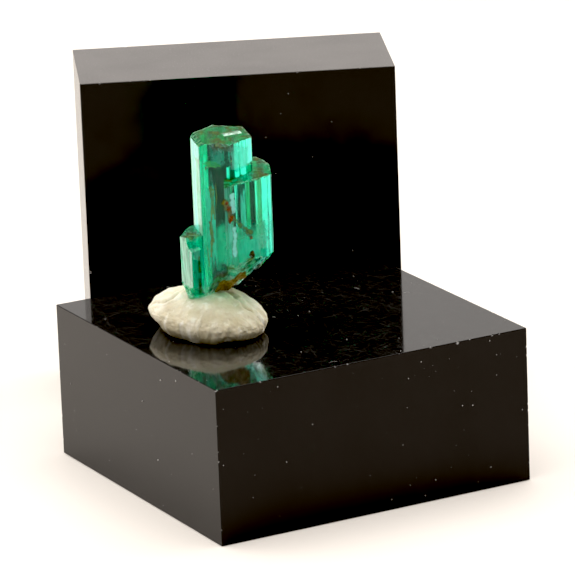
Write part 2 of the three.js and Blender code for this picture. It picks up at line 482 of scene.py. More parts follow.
def floor_mat():
    mat, nt, bs, _ = new_mat("table_top")
    f = noise_tex(nt, coords(nt, (22, 22, 22)), 1.0, 3.0, 0.5)
    nt.links.new(ramp(nt, f, [(0.3, (0.925, 0.875, 0.815)), (0.7, (0.940, 0.895, 0.845))]), bs.inputs["Base Color"])
    bs.inputs["Roughness"].default_value = 0.6
    bs.inputs["Specular IOR Level"].default_value = 0.2
    return mat


# ------------------------------------------------------------------ blocks
def rock(rs, centre, r):
    v, f = ICO2
    k = 1.0 + 0.45 * N2(v[:, 0] * 1.3 + rs.uniform(0, 50), v[:, 1] * 1.3 + rs.uniform(0, 50), v[:, 2] * 1.3)
    s = r * np.array([rs.uniform(0.7, 1.3), rs.uniform(0.7, 1.3), rs.uniform(0.7, 1.3)])
    return v * k[:, None] * s + np.asarray(centre), f


def block(name, w, d, h, polished_axis, place, seed, chips, mats):
    bm = bmesh.new()
    bmesh.ops.create_cube(bm, size=1.0)
    for v in bm.verts:
        v.co = Vector((v.co.x * w, v.co.y * d, (v.co.z + 0.5) * h))
    bmesh.ops.bevel(bm, geom=list(bm.edges), offset=0.06, offset_type="OFFSET", segments=2, profile=0.55,
                    affect="EDGES")
    me = bpy.data.meshes.new(name)
    bm.to_mesh(me)
    bm.free()
    ob = bpy.data.objects.new(name, me)
    scene.collection.objects.link(ob)
    rs = np.random.RandomState(seed)
    ob = boolean(ob, join_meshes(name + "_chips", [rock(rs, c, r) for c, r in chips]), "DIFFERENCE", "EXACT")
    me = ob.data
    n, c = face_data(me)
    idx = np.full(len(n), 1)
    idx[np.abs(n[:, polished_axis]) > 0.999] = 0
    near = np.zeros(len(n), bool)
    for ch, r in chips:
        near |= np.linalg.norm(c - np.asarray(ch), axis=1) < r * 1.25
    area = np.array([p.area for p in me.polygons])
    idx[near & (area < 0.2)] = 2
    me.materials.clear()
    for m in mats:
        me.materials.append(m)
    me.polygons.foreach_set("material_index", idx.astype(np.int32))
    v = verts_of(me)
    v = np.c_[v, np.ones(len(v))] @ np.array(place).T
    set_verts(me, v[:, :3] * MM)
    me.polygons.foreach_set("use_smooth", [False] * len(me.polygons))
    return ob


def edge_chips(w, d, h, seed, n, keep=(), r_lo=0.04, r_hi=0.13):
    rs = np.random.RandomState(seed)
    out, keep = [], list(keep)
    x, y = w / 2, d / 2
    edges = [((-x, -y, h), (x, -y, h)), ((x, -y, h), (x, y, h)), ((x, y, h), (-x, y, h)), ((-x, y, h), (-x, -y, h)),
             ((-x, -y, 0), (-x, -y, h)), ((x, -y, 0), (x, -y, h)), ((x, y, 0), (x, y, h)), ((-x, y, 0), (-x, y, h))]
    for i in range(n):
        a, b = edges[rs.randint(len(edges))]
        t = rs.uniform(0.02, 0.98)
        p = np.array(a) * (1 - t) + np.array(b) * t
        r = rs.uniform(r_lo, r_hi) * (1.0 if rs.rand() < 0.85 else 1.7)
        if all(np.linalg.norm(p - np.array(c)) > 2.5 * (r + k) for c, k in out + keep):
            out.append((tuple(p), r))
    return out + keep


# ------------------------------------------------------------------ emerald
def striae(length, n, rs, amp):
    """Stepped profile across one prism face."""
    t, x, hgt = [0.0], 0.0, [0.0]
    while x < length:
        x += rs.uniform(0.10, 0.46)
        t += [min(x, length), min(x + 0.07, length)]
        nxt = np.clip(hgt[-1] + rs.normal() * amp * 0.8, -amp * 1.6, amp * 1.6)
        hgt += [hgt[-1], nxt]
    return np.interp(np.linspace(0, length, n, endpoint=False), t, hgt)


def prism(name, corners, h0, h1, seed, amps, step=0.055, bev=0.045):
    rs = np.random.RandomState(seed)
    cs = [np.array(c, float) for c in corners]
    k = len(cs)
    rows = max(12, int((h1 - h0) / 0.42))
    hs = np.linspace(h0, h1, rows + 1)
    cols_p, cols_n, cols_d = [], [], []
    for i in range(k):
        a, b = cs[i], cs[(i + 1) % k]
        L = np.linalg.norm(b - a)
        t = (b - a) / L
        nrm = np.array([t[1], -t[0]])
        a2, L2 = a + t * bev, L - 2 * bev
        n = max(3, int(L2 / step))
        s = np.linspace(0, L2, n)
        win = np.clip(np.minimum(s, L2 - s) / 0.12, 0, 1)
        A, B = striae(L2, n, rs, amps[i]), striae(L2, n, rs, amps[i])
        ph = rs.uniform(0, 90)
        w = 0.5 + 0.9 * N3(s[:, None] * 0.8 + ph, hs[None, :] * 0.22 + ph)
        w = np.clip(w, 0, 1)
        d = (A[:, None] * w + B[:, None] * (1 - w)) * win[:, None]
        d = d + win[:, None] * amps[i] * 0.5 * N4(s[:, None] * 1.1 + ph, hs[None, :] * 0.35)
        cols_p.append(a2[None, :] + s[:, None] * t[None, :])
        cols_n.append(np.repeat(nrm[None, :], n, 0))
        cols_d.append(d)
    P, Nn, D = np.vstack(cols_p), np.vstack(cols_n), np.vstack(cols_d)
    m = len(P)
    xy = P[:, None, :] + Nn[:, None, :] * D[:, :, None]
    V = np.concatenate([xy, np.broadcast_to(hs[None, :, None], (m, rows + 1, 1))], 2)
    V = V.transpose(1, 0, 2).reshape(-1, 3)
    F = [(j * m + i, j * m + (i + 1) % m, (j + 1) * m + (i + 1) % m, (j + 1) * m + i)
         for j in range(rows) for i in range(m)]
    F.append(tuple(range(m - 1, -1, -1)))
    F.append(tuple(rows * m + i for i in range(m)))
    return new_object(name, V, F)


def cutter(name, f, x0, x1, y0, y1, step, cap):
    nx, ny = int((x1 - x0) / step) + 1, int((y1 - y0) / step) + 1
    X, Y = np.meshgrid(np.linspace(x0, x1, nx), np.linspace(y0, y1, ny), indexing="ij")
    H = f(X, Y)
    V = np.stack([X, Y, H], -1).reshape(-1, 3)
    g = lambda i, j: i * ny + j
    F = [(g(i, j), g(i + 1, j), g(i + 1, j + 1), g(i, j + 1)) for i in range(nx - 1) for j in range(ny - 1)]
    loop = [g(i, 0) for i in range(nx)] + [g(nx - 1, j) for j in range(1, ny)] \
        + [g(i, ny - 1) for i in range(nx - 2, -1, -1)] + [g(0, j) for j in range(ny - 2, 0, -1)]
    base = len(V)
    low = V[loop].copy()
    low[:, 2] = cap
    V = np.vstack([V, low])
    n = len(loop)
    F += [(loop[i], base + i, base + (i + 1) % n, loop[(i + 1) % n]) for i in range(n)]
    F.append(tuple(base + i for i in range(n - 1, -1, -1)))
    ob = new_object(name, V, F)
    outward(ob)
    return ob


def edge_dist(p, q, a, b):
    """Distance to the line of one hexagon side, positive inside."""
    a, b = np.array(a), np.array(b)
    t = (b - a) / np.linalg.norm(b - a)
    nrm = np.array([t[1], -t[0]])
    return -((p - a[0]) * nrm[0] + (q - a[1]) * nrm[1])


def top_main(p, q):
    h = 0.007 * N1.fbm(p * 0.9, q * 0.9, 0.3, 2) + 0.0020 * N2.fbm(p * 5.0, q * 5.0, 1.7, 2)
    h = h + 0.0004 * N3(p * 17, q * 17, 0.2)
    d = np.min([edge_dist(p, q, HEX[i], HEX[(i + 1) % 6]) for i in range(6)], axis=0)
    worn = 0.5 + 0.9 * N2(p * 1.9, q * 1.9, 5.1)
    h = h - 0.10 * np.clip(worn, 0.05, 1.2) * np.exp(-np.clip(d, 0, 9) / 0.09)
    # worn bevel along the left edge
    dl = edge_dist(p, q, HEX[0], HEX[1])
    h = h - 0.75 * np.clip(0.42 + 0.16 * N4(q * 1.7, 3.0, 0.0) - dl, 0, 1)
    # scallops bitten out of the rear rim
    db = edge_dist(p, q, HEX[4], HEX[5])
    h = h - 0.30 * np.clip(0.30 * (0.35 + N3(p * 2.1, 8.0, 0.0)) - db, 0, 1)
    # crumbled front edge
    df = edge_dist(p, q, HEX[1], HEX[2])
    fr = ease((p + 1.15) / 0.35) * ease((0.78 - p) / 0.25)
    h = h - fr * 0.9 * np.clip(0.24 + 0.10 * N1(p * 5.0, 2.0, 1.0) - df, 0, 1)
    # one straight growth step that catches the light
    ca, sa = math.cos(math.radians(22.5)), math.sin(math.radians(22.5))
    t = (p - 0.27) * ca + (q + 0.28) * sa
    s = -(p - 0.27) * sa + (q + 0.28) * ca
    on = ease(t / 0.06) * ease((1.80 - t) / 0.06)
    ramp_up = np.clip((s + 0.17) / 0.34, 0, 1)
    h = h + on * 0.105 * ramp_up * (1 - ease((s - 0.17) / 0.5))
    return h


def top_second(p, q):
    h = -3.43 + 0.010 * N2.fbm(p * 0.9 + 4, q * 0.9, 2.3, 2) + 0.0025 * N3.fbm(p * 5.0, q * 5.0, 0.7, 2)
    d = np.min([edge_dist(p, q, SECOND[i], SECOND[(i + 1) % 10]) for i in (0, 1, 2, 3, 7, 8, 9)], axis=0)
    worn = 0.5 + 0.9 * N1(p * 1.7, q * 1.7, 2.2)
    h = h - 0.12 * np.clip(worn, 0.05, 1.2) * np.exp(-np.clip(d, 0, 9) / 0.10)
    h = h - 0.10 * ease((p - 3.4) / 1.2) * ease((q - 0.2) / 2.0)
    return h


def top_left(p, q):
    h = -9.17 + 0.05 * N1.fbm(p * 1.6, q * 1.6, 4.2, 4) + 0.02 * N2.fbm(p * 6.0, q * 6.0, 1.2, 3)
    return h - 0.10 * ease((-3.0 - p) / 1.2)


def break_height(p, q):
    h = -14.15 + 0.43 * p - 0.55 * q
    h = h - 1.9 * ease((-0.2 - p) / 1.6) * ease((q + 2.9) / 1.2)
    h = h + 0.22 * np.sin(1.7 * p + 0.6) * np.cos(1.3 * q - 0.4) + 0.12 * np.sin(3.1 * p - 2.0 * q + 0.8)
    return h


def break_fine(p, q):
    h = break_height(p, q)
    fit = np.interp(p, [-1.5, -0.3, 0.6, 2.1, 3.8, 5.0], [0.0, -0.4, -0.7, -0.5, 0.25, 0.45])
    h = h + fit * ease((q + 4.4) / 3.6)
    h = h + 0.16 * N3.fbm(p * 0.9, q * 0.9, 0.9, 4) + 0.075 * N1.fbm(p * 3.2, q * 3.2, 1.9, 4)
    h = h + 2.9 * ease((-3.15 - p) / 1.05)
    r = np.hypot(p - 3.2, q + 4.6)
    h = h + 0.035 * np.sin(7.5 * r + 1.5 * N2(p, q, 0.0)) * np.exp(-((r - 2.2) / 1.6) ** 2)
    return h


def emerald():
    # sides that the front shows are glassy; the rear ones are more deeply ribbed
    main = prism("emerald_crystals", HEX, -19, 1, 5, [0.010, 0.005, 0.005, 0.010, 0.016, 0.016])
    boolean(main, cutter("t1", top_main, -3.6, 3.6, -3.6, 3.6, 0.055, 3.0), "DIFFERENCE")
    second = prism("s", SECOND, -19, -2, 8, [0.010, 0.012, 0.012, 0.012, 0.01, 0.0, 0.008, 0.006, 0.006, 0.006])
    boolean(second, cutter("t2", top_second, -1.2, 5.2, -5.6, 3.8, 0.06, 0.0), "DIFFERENCE")
    left = prism("l", LEFT, -19, -8, 9, [0.0, 0.008, 0.010, 0.010, 0.006, 0.006, 0.0])
    boolean(left, cutter("t3", top_left, -4.9, -0.6, -3.6, 1.4, 0.06, -6.0), "DIFFERENCE")
    boolean(main, second, "UNION")
    boolean(main, left, "UNION")
    # shell-shaped chip off the front of the small prism
    v, f = icosphere(5)
    k = 1 + 0.012 * np.sin(9 * v[:, 2] + 2 * v[:, 0]) + 0.02 * N1.fbm(v[:, 0] * 2, v[:, 1] * 2, v[:, 2] * 2, 3)
    chip = new_object("chip", v * k[:, None] * 2.15 + np.array([-2.55, -4.25, -9.0]), f)
    boolean(main, chip, "DIFFERENCE")
    boolean(main, cutter("t4", break_fine, -5.2, 5.4, -5.8, 4.2, 0.07, -24.0), "DIFFERENCE")
    me = main.data
    n, c = face_data(me)
    p, q, h = c.T
    frost = np.zeros(len(c))
    etch_and_glint = np.zeros(len(c))
    side = np.abs(n[:, 2]) < 0.30
    near_break = h < break_height(p, q) + 0.55
    frost[n[:, 2] > 0.30] = 0.07
    frost[n[:, 2] < -0.20] = 0.45
    frost[side & near_break] = 0.35
    rear = side & (n[:, 1] > 0.05)
    patch = 0.55 + 0.95 * N1.fbm(p * 2.3, q * 2.3, h * 0.16, 3)
    edge = 0.12 * N2(h * 0.8, 1.5, 0.0) + 0.05 * N3(h * 3.0, 0.5, 0.0)
    flat = (n[:, 1] > 0.9) & (q > 1.9)
    glassy = flat & (np.abs(p - 0.16 - 0.02 * h + edge) < 0.44) & (h > -10.2) & (h < -0.9)
    glassy |= flat & (np.abs(p - 1.62 + edge) < 0.24) & (h > -9.3) & (h < -4.4)
    frost[rear] = np.clip(patch * (1 - 0.85 * ease((h + 10.5) / 3.0)), 0.06, 1.1)[rear]
    frost[rear & glassy] = 0.02
    rib5 = side & (n[:, 0] < -0.5) & (n[:, 1] > 0.3) & (p < -0.8) & (h > -9.0)
    frost[rib5] = np.clip(0.22 + 0.5 * N2.fbm(p * 4, q * 4, h * 0.15, 2), 0.04, 0.6)[rib5]
    notch = side & (n[:, 0] < -0.5) & (n[:, 1] > 0.3) & (p > 1.4) & (q > 1.9)
    frost[notch] = np.clip(0.45 + patch, 0.3, 1.0)[notch]
    ribs = flat & (p < 0.9) & (h > -2.35) & (N3(p * 3.4, 2.0, h * 0.12) > 0.12)
    frost[ribs] = 0.8
    inchip = np.abs(np.linalg.norm(c - np.array([-2.55, -4.25, -9.0]), axis=1) - 2.15) < 0.12
    frost[inchip & (p < -1.8)] = 0.4
    # etched skin: outer face of the small prism, a breath of it on the tall prism's left face
    etch_and_glint[side & (n[:, 0] < -0.55) & (n[:, 1] < -0.4) & (p < -2.9)] = 0.85
    etch_and_glint[side & (n[:, 0] < -0.90) & (p > -3.0) & (h > -9.6)] = 0.50
    bar_t = (p - 0.27) * 0.924 + (q + 0.28) * 0.383
    bar_s = -(p - 0.27) * 0.383 + (q + 0.28) * 0.924
    # painted highlight: the straight growth step on the top gets the pale colour at full strength to stand in for its
    # glint
    etch_and_glint[(h > -0.3) & (bar_t > 0.0) & (bar_t < 1.80) & (np.abs(bar_s) < 0.17)] = 1.0
    foot = side & (h < -14.2) & (p < -1.6)
    etch_and_glint[foot] = np.clip(0.16 + 0.5 * N2.fbm(p * 2, q * 2, h * 2, 3), 0, 0.8)[foot]
    brk = (n[:, 2] < -0.15) & (p > -2.4)
    etch_and_glint[brk] = np.clip(0.14 + 0.7 * N1.fbm(p * 1.8, q * 1.8, h * 1.8, 3), 0, 0.6)[brk]
    v = verts_of(me)
    p, q, h = v.T
    st = np.zeros(len(v))
    top = np.exp(-((h - 0.0) / 0.10) ** 2)
    st += top * (0.20 + 0.70 * N1.fbm(p * 0.8, q * 0.8, 9.0, 3))
    st += 1.5 * np.exp(-(((p + 0.1) / 0.80) ** 2 + ((q + 2.68) / 0.26) ** 2 + ((h + 0.1) / 0.20) ** 2))
    st += np.exp(-((h + 3.45) / 0.14) ** 2) * (0.24 + 0.75 * N2.fbm(p * 0.8, q * 0.8, 2.0, 3))
    st += 1.5 * np.exp(-(((p + 3.2) / 0.60) ** 2 + ((q + 2.2) / 0.7) ** 2 + ((h + 9.25) / 0.25) ** 2))
    under = np.exp(-np.clip(h - break_height(p, q) - 0.05, 0, 9) / 0.16)
    st += 0.7 * under * np.clip(0.50 + 0.9 * N3.fbm(p * 0.7, q * 0.7, 3.0, 3), 0, 1) * ease((1.9 - p) / 2.2) * ease((p + 2.2) / 1.4)
    rim = np.exp(-np.clip(h - break_fine(p, q) - 0.05, 0, 9) / 0.13)
    st += rim * np.clip(0.18 + 0.75 * N1.fbm(p * 1.1, q * 1.1, 5.0, 3), 0, 1) * ease((p - 0.8) / 1.2)
    st += 0.7 * np.exp(-(((p + 2.45) / 0.10) ** 2 + ((q + 2.65) / 0.3) ** 2)) * ease((-10.9 - h) / 0.4)
    face_attr(me, "frost", frost)
    face_attr(me, "etch_and_glint", etch_and_glint)
    vert_attr(me, "stain", np.clip(st, 0, 1))
    set_verts(me, crystal_to_world(v) * MM)
    sharpen(me, 24)
    me.materials.clear()
    me.materials.append(emerald_mat())
    return main


# ------------------------------------------------------------------ what is sealed in the emerald
def grain(rs, c, r, level=ICO2):
    v, f = level
    k = 1 + 0.35 * N1(v[:, 0] * 1.6 + rs.uniform(0, 60), v[:, 1] * 1.6, v[:, 2] * 1.6 + rs.uniform(0, 60))
    s = np.array([rs.uniform(0.8, 1.2), rs.uniform(0.6, 1.0), rs.uniform(0.8, 1.25)])
    return v * k[:, None] * s * r + np.asarray(c), f


def rust_grains():
    rs = np.random.RandomState(71)
    parts = []
    for c, spread, n, r in (((0.34, -4.68, -5.00), 0.13, 12, 0.10), ((0.50, -4.58, -5.62), 0.15, 16, 0.115),
                            ((0.60, -4.50, -6.80), 0.16, 18, 0.12), ((2.46, -3.46, -9.05), 0.10, 8, 0.06),
                            ((-1.50, -2.16, -2.45), 0.14, 8, 0.07), ((1.5, -3.84, -7.6), 0.2, 8, 0.05),
                            ((1.95, -3.55, -8.15), 0.2, 8, 0.05), ((0.9, -4.25, -6.5), 0.2, 8, 0.05)):
        for i in range(n):
            parts.append(grain(rs, np.array(c) + rs.normal(size=3) * spread * np.array([0.55, 0.30, 0.8]),
                               r * rs.uniform(0.5, 1.15)))
    return join_meshes("rust_grains", parts)


def dark_grains():
    rs = np.random.RandomState(72)
    parts = []
    for c, spread, n, r in (((2.50, -3.40, -10.74), 0.15, 22, 0.15), ((0.25, -2.45, -12.2), 0.25, 6, 0.05),
                            ((3.95, -1.7, -9.7), 0.2, 6, 0.05), ((-1.0, -2.0, -12.9), 0.3, 6, 0.05)):
        for i in range(n):
            parts.append(grain(rs, np.array(c) + rs.normal(size=3) * spread * np.array([0.6, 0.35, 0.8]),
                               r * rs.uniform(0.5, 1.15)))
    return join_meshes("dark_grains", parts)


def film_strip(pts, half, inward, seed, n=90, m=14):
    """Patchy film just under a face, following a wandering line."""
    rs = np.random.RandomState(seed)
    pts = np.array(pts, float)
    s = np.linspace(0, 1, n)
    k = np.r_[0, np.cumsum(np.linalg.norm(np.diff(pts, axis=0), axis=1))]
    k /= k[-1]
    line = np.stack([np.interp(s, k, pts[:, i]) for i in range(3)], -1)
    ph = rs.uniform(0, 60)
    line[:, 2] += 0.06 * N1(s * 16 + ph, 0.2, 0.0)
    t = np.linspace(-1, 1, m)
    w = half * (0.75 + 0.6 * N2(s * 9 + ph, 0.7, 0.0))
    tang = np.gradient(line, axis=0)
    tang /= np.linalg.norm(tang, axis=1)[:, None]
    inn = np.array(inward) / np.linalg.norm(inward)
    across = np.cross(tang, inn)
    G = line[:, None, :] + (w[:, None] * t[None, :])[:, :, None] * across[:, None, :]
    G = G + (0.09 + 0.05 * N3(G[..., 0] * 3 + ph, G[..., 2] * 3, 0.0))[..., None] * inn
    v, f = sheet_part(G)
    cover = np.clip(1.25 - t ** 2, 0, 1)[None, :] * (ease(s / 0.05) * ease((1 - s) / 0.05))[:, None]
    return v, f, cover.ravel()


def film_object(name, strips):
    ob = join_meshes(name, [(v, f) for v, f, c in strips])
    vert_attr(ob.data, "cover", np.concatenate([c for v, f, c in strips]))
    return ob


def crack_sheet():
    inn = (-0.5, 0.86, 0.0)
    return film_object("rust_crack", [
        film_strip([(-0.05, -5.00, -4.60), (0.30, -4.78, -5.05), (0.71, -4.49, -6.05), (0.97, -4.31, -6.72),
                    (1.32, -4.05, -7.20), (1.76, -3.84, -7.82), (2.40, -3.46, -8.45), (2.62, -3.38, -8.85)], 0.34, inn, 1),
        film_strip([(0.36, -4.72, -5.4), (0.60, -4.55, -6.0), (0.72, -4.48, -6.7), (0.80, -4.42, -7.0)], 0.46, inn, 2),
        film_strip([(2.05, -3.70, -8.3), (2.45, -3.50, -8.9), (2.55, -3.46, -9.2)], 0.20, inn, 3)])


def vein_sheets():
    inn = (-0.24, 0.97, 0.0)
    q = lambda p: -2.126 - 0.2475 * (p + 2.046)
    mk = lambda pts: [(a, q(a), b) for a, b in pts]
    return film_object("healed_veins", [
        film_strip(mk([(-1.12, -4.0), (-1.00, -6.0), (-1.16, -8.0), (-1.02, -10.0)]), 0.20, inn, 4),
        film_strip(mk([(-0.84, -4.4), (-0.90, -6.0), (-0.78, -7.6)]), 0.14, inn, 5),
        film_strip(mk([(-0.60, -3.8), (-0.56, -5.2), (-0.66, -6.6)]), 0.10, inn, 6),
        film_strip(mk([(-1.30, -7.6), (-1.14, -9.4), (-1.30, -11.4)]), 0.16, inn, 7),
        film_strip(mk([(-1.62, -10.2), (-1.50, -12.4)]), 0.10, inn, 8)])


# painted reflection: near-white film strips just under the front faces stand in for light reflected inside the crystal
def bright_strips():
    inn = (-0.59, 0.81, 0.0)
    q = lambda p: -4.90 + 0.725 * (p - 0.15)
    mk = lambda pts: [(a, q(a), b) for a, b in pts]
    return film_object("healed_strips_painted_reflection", [
        film_strip(mk([(0.90, -4.20), (0.95, -5.2), (1.02, -6.3)]), 0.36, inn, 21),
        film_strip(mk([(0.94, -7.5), (1.06, -8.6), (0.93, -9.6), (1.00, -10.7)]), 0.31, inn, 22)])


def parting_film():
    """Stained basal parting half way through the tall prism."""
    u = np.linspace(-1, 1, 40)
    U, V = np.meshgrid(u, u, indexing="ij")
    G = np.stack([-0.72 + 0.98 * U, -0.42 + 1.98 * V - 0.24 * U, -2.42 + 0.05 * N1.fbm(U * 2, V * 2, 0.0, 3)], -1)
    v, f = sheet_part(G)
    r = (np.abs(U) ** 3 + np.abs(V) ** 3) ** (1 / 3) + 0.30 * N2(U * 2.5, V * 2.5, 0.0)
    return film_object("parting_film", [(v, f, (ease((1.05 - r) / 0.60)).ravel())])


def veil_sheets():
    """Basal parting and a few wispy veils."""
    parts, cov = [], []
    rs = np.random.RandomState(91)
    specs = [((2.9, -1.4, -11.2), (0.8, 0.5, 0.2), (0.1, 0.5, 0.9), 1.5, 1.2, 0.55),
             ((0.9, -2.6, -12.3), (0.9, 0.1, 0.3), (0.2, 0.9, -0.3), 1.5, 1.2, 0.6),
             ((-0.6, -0.3, -12.6), (0.9, -0.2, 0.2), (0.2, 0.9, -0.4), 1.5, 1.4, 0.6),
             ((3.2, -0.4, -7.6), (0.5, 0.8, 0.1), (0.1, 0.1, 0.95), 1.1, 1.6, 0.45),
             ((-0.6, 0.9, -8.0), (0.95, 0.2, 0.1), (0.1, 0.15, 0.95), 1.1, 2.2, 0.35),
             ((1.4, -0.2, -6.0), (0.9, -0.4, 0.1), (0.1, 0.2, 0.95), 0.9, 1.5, 0.35)]
    for c, a, b, la, lb, cv in specs:
        a, b = np.array(a) / np.linalg.norm(a), np.array(b) / np.linalg.norm(b)
        u = np.linspace(-1, 1, 34)
        U, V = np.meshgrid(u, u, indexing="ij")
        nrm = np.cross(a, b)
        ph = rs.uniform(0, 50)
        w = 0.12 * N1.fbm(U * 1.2 + ph, V * 1.2, 0.0, 3)
        G = np.array(c) + U[..., None] * a * la + V[..., None] * b * lb + w[..., None] * nrm
        parts.append(sheet_part(G))
        rr = np.hypot(U, V) + 0.25 * N2(U * 2 + ph, V * 2, 0.0)
        cov.append((cv * ease((1.0 - rr) / 0.4)).ravel())
    ob = join_meshes("inner_veils", parts)
    vert_attr(ob.data, "cover", np.concatenate(cov))
    return ob


def haze_sheets(name, seed, planes):
    """Upright milky healed planes that give the body its glow."""
    strips = []
    rs = np.random.RandomState(seed)
    for (pa, qa), (pb, qb), h0, h1, cv in planes:
        u, w = np.linspace(0, 1, 60), np.linspace(0, 1, 90)
        U, W = np.meshgrid(u, w, indexing="ij")
        ph = rs.uniform(0, 60)
        off = 0.16 * N1.fbm(U * 2.5 + ph, W * 2.0, 0.0, 3)
        L = math.hypot(pb - pa, qb - qa)
        nrm = np.array([-(qb - qa), pb - pa]) / L
        G = np.stack([pa + (pb - pa) * U + off * nrm[0], qa + (qb - qa) * U + off * nrm[1], h0 + (h1 - h0) * W], -1)
        G[..., 2] = np.maximum(G[..., 2], break_fine(G[..., 0], G[..., 1]) + 0.15)
        v, f = sheet_part(G)
        e = np.minimum(np.minimum(U, 1 - U) / 0.10, np.minimum(W, 1 - W) / 0.30) + 0.7 * N2(U * 4 + ph, W * 5, 0.0)
        strips.append((v, f, (cv * ease(e)).ravel()))
    return film_object(name, strips)


DEEP_PLANES = (((-0.60, 1.50), (2.60, 0.90), -8.4, -13.8, 1.0),
               ((-3.70, -0.60), (-2.30, -0.30), -9.9, -14.6, 0.60))
NEAR_PLANES = (((-1.60, -1.25), (-0.62, -1.50), -2.6, -13.6, 1.0),
               ((-1.00, -1.55), (0.45, -1.90), -0.4, -2.5, 0.35),
               ((1.40, -3.05), (1.95, -2.75), -4.0, -9.2, 1.0),
               ((0.32, -4.42), (0.80, -4.06), -4.0, -11.6, 0.75),
               ((0.65, -2.30), (2.35, -0.50), -0.3, -3.4, 0.60),
               ((-1.95, -1.50), (-1.45, -1.62), -0.4, -13.2, 0.40),
               ((-0.10, -2.35), (3.80, -1.25), -8.6, -13.0, 1.0))


def place_crystal(ob):
    set_verts(ob.data, crystal_to_world(verts_of(ob.data)) * MM)
    return ob


# ------------------------------------------------------------------ matrix crust
def crust():
    """Craggy skin hanging under the break, thinning out to its rim."""
    nr, na = 44, 150
    r = np.linspace(0.0, 1.0, nr + 1)[1:]
    a = np.linspace(0, 2 * math.pi, na, endpoint=False)
    RR, AA = np.meshgrid(r, a, indexing="ij")
    rim = 1 + 0.10 * N1(np.cos(AA) * 1.5, np.sin(AA) * 1.5, 4.0) + 0.05 * N3(np.cos(AA) * 5, np.sin(AA) * 5, 1.0)
    P = 0.10 + RR * rim * (1.85 * np.cos(AA) - 0.25 * np.sin(AA))
    Q = -0.05 + RR * rim * (1.55 * np.sin(AA) + 0.30 * np.cos(AA))
    T = 1.0 * (1 - RR ** 2) ** 0.8 * (1.0 - 0.75 * ease((P + 0.3) / 1.9))
    rough = 0.40 * N2.fbm(P * 1.2, Q * 1.2, 0.4, 3) + 0.55 * N1.fbm(P * 3.0, Q * 3.0, 2.0, 4) + 0.28 * N3.fbm(P * 8, Q * 8, 1.0, 3)
    T = np.clip(T * (1 + 0.5 * rough) + 0.25 * rough * (1 - RR ** 6), 0.03, 2.2)
    T[-1] = 0.0
    top = break_fine(P, Q) - 0.03
    up = np.stack([P, Q, top], -1).reshape(-1, 3)
    dn = np.stack([P, Q, top - T], -1).reshape(-1, 3)[:-na]
    c0 = np.array([[0.10, -0.05, break_fine(0.10, -0.05) - 0.03]])
    V = np.vstack([up, dn, c0, c0 - [[0, 0, T[0].mean()]]])
    ku, kd = len(up) + len(dn), len(up) + len(dn) + 1
    hi = lambda i, j: i * na + j % na
    lo = lambda i, j: (len(up) + i * na + j % na) if i < nr - 1 else i * na + j % na
    F = []
    for j in range(na):
        F.append((ku, hi(0, j), hi(0, j + 1)))
        F.append((kd, lo(0, j + 1), lo(0, j)))
        for i in range(nr - 1):
            F.append((hi(i, j), hi(i + 1, j), hi(i + 1, j + 1), hi(i, j + 1)))
            F.append((lo(i, j), lo(i, j + 1), lo(i + 1, j + 1), lo(i + 1, j)))
    ob = new_object("matrix_crust", V, F)
    outward(ob)
    place_crystal(ob)
    sharpen(ob.data, 50)
    ob.data.materials.append(matrix_mat())
    return ob


# ------------------------------------------------------------------ putty
def poly_dist(u, v, pts):
    best = np.full(u.shape, 1e9)
    for (x0, y0), (x1, y1) in zip(pts[:-1], pts[1:]):
        dx, dy = x1 - x0, y1 - y0
        t = np.clip(((u - x0) * dx + (v - y0) * dy) / (dx * dx + dy * dy), 0, 1)
        best = np.minimum(best, np.hypot(u - x0 - t * dx, v - y0 - t * dy))
    return best


